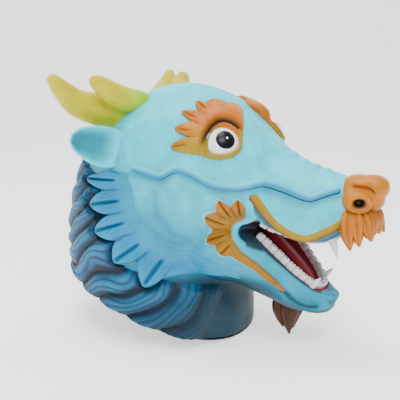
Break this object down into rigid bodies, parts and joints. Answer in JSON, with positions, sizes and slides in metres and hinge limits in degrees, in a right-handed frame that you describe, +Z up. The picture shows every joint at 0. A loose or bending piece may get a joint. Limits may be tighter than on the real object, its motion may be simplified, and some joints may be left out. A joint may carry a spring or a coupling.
{
  "type": "full-head latex dragon mask",
  "caption": "Hollow full-head latex dragon mask with forked horns, leaf ears, mane, cheek frills, open toothed jaws, moustache and beard.",
  "frame": {"origin": "head seat on the inside of the crown, where the mask hangs on the wearer's head", "axes": "+X out of the snout, +Y to the dragon's left, +Z up when worn on an upright head"},
  "size_m": [0.3913, 0.257, 0.2974],
  "materials": {
    "skin_latex": "matte airbrushed light blue latex",
    "frill_latex": "matte airbrushed mid blue latex",
    "mane_latex": "matte dark blue latex, lighter on the ridges",
    "horn_latex": "matte yellow-green latex, blue at the root",
    "gold_latex": "satin ochre and brown paint on latex",
    "nose_latex": "satin orange-brown paint on latex",
    "beard_latex": "matte dark brown paint on latex",
    "tooth_latex": "satin white paint on latex",
    "eye_plastic": "gloss white with a painted black pupil",
    "tongue_latex": "satin dark red paint on latex"
  },
  "bodies": {
    "root": {"latex_skin": "skin_latex", "ear_left": "skin_latex", "ear_right": "skin_latex", "cheek_frill_left": "frill_latex", "cheek_frill_right": "frill_latex", "fold_ridge_left": "frill_latex", "fold_ridge_right": "frill_latex", "mane": "mane_latex", "horn_left": "horn_latex", "horn_right": "horn_latex", "brow_left": "gold_latex", "brow_right": "gold_latex", "mouth_rosette_left": "gold_latex", "mouth_rosette_right": "gold_latex", "lip_trim_left": "gold_latex", "lip_trim_right": "gold_latex", "nose": "nose_latex", "moustache": "nose_latex", "beard": "beard_latex", "lower_teeth": "tooth_latex", "upper_teeth": "tooth_latex", "eye_left": "eye_plastic", "eye_right": "eye_plastic", "tongue": "tongue_latex"}
  },
  "joints": []
}
